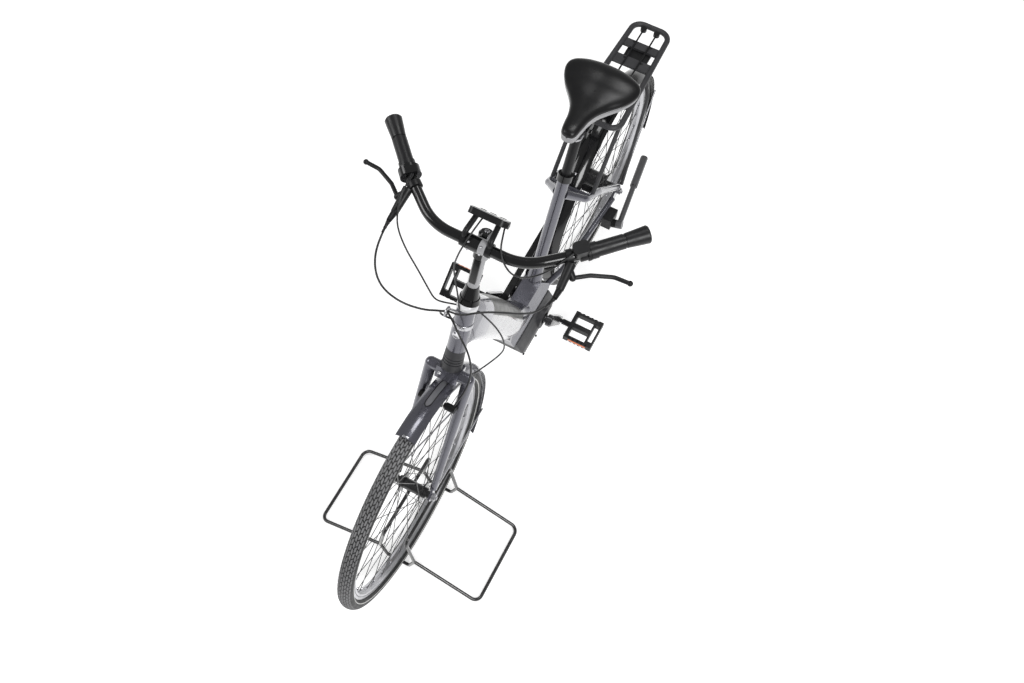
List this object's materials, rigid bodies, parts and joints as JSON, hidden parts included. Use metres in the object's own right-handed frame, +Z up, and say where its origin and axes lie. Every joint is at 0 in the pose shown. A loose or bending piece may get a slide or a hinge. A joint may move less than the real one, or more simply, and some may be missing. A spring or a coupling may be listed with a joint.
{
  "type": "step-through electric bicycle with front wheel display stand",
  "caption": "Step-through electric city bicycle with mid motor, swept bar, wide saddle, rear rack and fenders, held by a bent-wire stand at its front wheel",
  "frame": {"origin": "centre of the footprint box on the floor", "axes": "+X forward, +Y to the rider's left, +Z up"},
  "size_m": [1.8391, 0.671, 1.1445],
  "materials": {
    "battery_panel": "satin dark grey",
    "black_plastic": "matt",
    "cable_black": "satin",
    "chrome": "polished",
    "dark_grey_plastic": "matt",
    "frame_paint": "satin metallic slate grey",
    "gloss_black": "gloss",
    "hub_black": "satin black",
    "rim_alloy": "satin",
    "rubber": "matt",
    "saddle_skin": "smooth matt",
    "steel": "polished",
    "tyre": "matt",
    "wire_black": "gloss black"
  },
  "bodies": {
    "frame": {"main_frame": "frame_paint", "seat_tube": "frame_paint", "chain_stays": "frame_paint", "seat_stays": "frame_paint", "rack_struts": "dark_grey_plastic", "stay_bridge": "frame_paint", "motor_unit": "black_plastic", "motor_cover_left": "dark_grey_plastic", "motor_cover_right": "dark_grey_plastic", "battery_cover": "battery_panel", "chain_guard": "gloss_black", "chain": "steel", "seatpost": "black_plastic", "seat_clamp": "chrome", "saddle": "saddle_skin", "saddle_rails": "chrome", "rear_fender": "gloss_black", "rear_skewer": "steel", "rack": "dark_grey_plastic", "rack_springs": "steel", "rear_brake": "black_plastic", "kickstand_bracket": "black_plastic", "rear_fender_stays": "steel", "cable_guide": "steel"},
    "steering": {"fork": "frame_paint", "front_skewer": "steel", "head_boot": "dark_grey_plastic", "headset_cap": "black_plastic", "stem": "steel", "handlebar": "gloss_black", "grips": "rubber", "brake_levers": "black_plastic", "twist_shifter": "dark_grey_plastic", "control_pod": "dark_grey_plastic", "display": "black_plastic", "front_fender": "frame_paint", "front_brake": "black_plastic", "front_fender_stays": "steel", "brake_hoses": "cable_black", "bar_cables": "cable_black", "display_cables": "cable_black", "wheel_stand": "wire_black", "stand_hoops": "wire_black", "stand_cradles": "wire_black"},
    "front_wheel": {"front_tyre": "tyre", "front_rim": "rim_alloy", "front_hub": "hub_black"},
    "rear_wheel": {"rear_tyre": "tyre", "rear_rim": "rim_alloy", "rear_hub": "hub_black", "sprocket": "steel"},
    "cranks": {"cranks": "steel", "chainring": "black_plastic"},
    "pedal_left": {"pedal_left": "black_plastic"},
    "pedal_right": {"pedal_right": "black_plastic"},
    "kickstand": {"kickstand": "dark_grey_plastic"}
  },
  "joints": [
    {"name": "steering", "type": "hinge", "parent": "frame", "child": "steering", "pos_m": [0.31873, 0, 0.78562], "axis": [-0.4067, 0, 0.9135], "range_deg": [-60, 60], "deforming": ["brake_hoses", "bar_cables", "display_cables"]},
    {"name": "front_wheel_spin", "type": "hinge", "parent": "steering", "child": "front_wheel", "pos_m": [0.5696, 0, 0.35], "axis": [0, 1, 0], "continuous": true},
    {"name": "rear_wheel_spin", "type": "hinge", "parent": "frame", "child": "rear_wheel", "pos_m": [-0.5576, 0, 0.35], "axis": [0, 1, 0], "continuous": true},
    {"name": "crank_spin", "type": "hinge", "parent": "frame", "child": "cranks", "pos_m": [-0.07973, 0, 0.291], "axis": [0, 1, 0], "continuous": true},
    {"name": "pedal_left_spin", "type": "hinge", "parent": "cranks", "child": "pedal_left", "pos_m": [-0.17231, 0.163, 0.14843], "axis": [0, 1, 0], "continuous": true},
    {"name": "pedal_right_spin", "type": "hinge", "parent": "cranks", "child": "pedal_right", "pos_m": [0.01286, -0.163, 0.43357], "axis": [0, 1, 0], "continuous": true},
    {"name": "kickstand_fold", "type": "hinge", "parent": "frame", "child": "kickstand", "pos_m": [-0.4717, 0.122, 0.312], "axis": [0.135, -0.9708, -0.1986], "range_deg": [0, 100.6]}
  ]
}
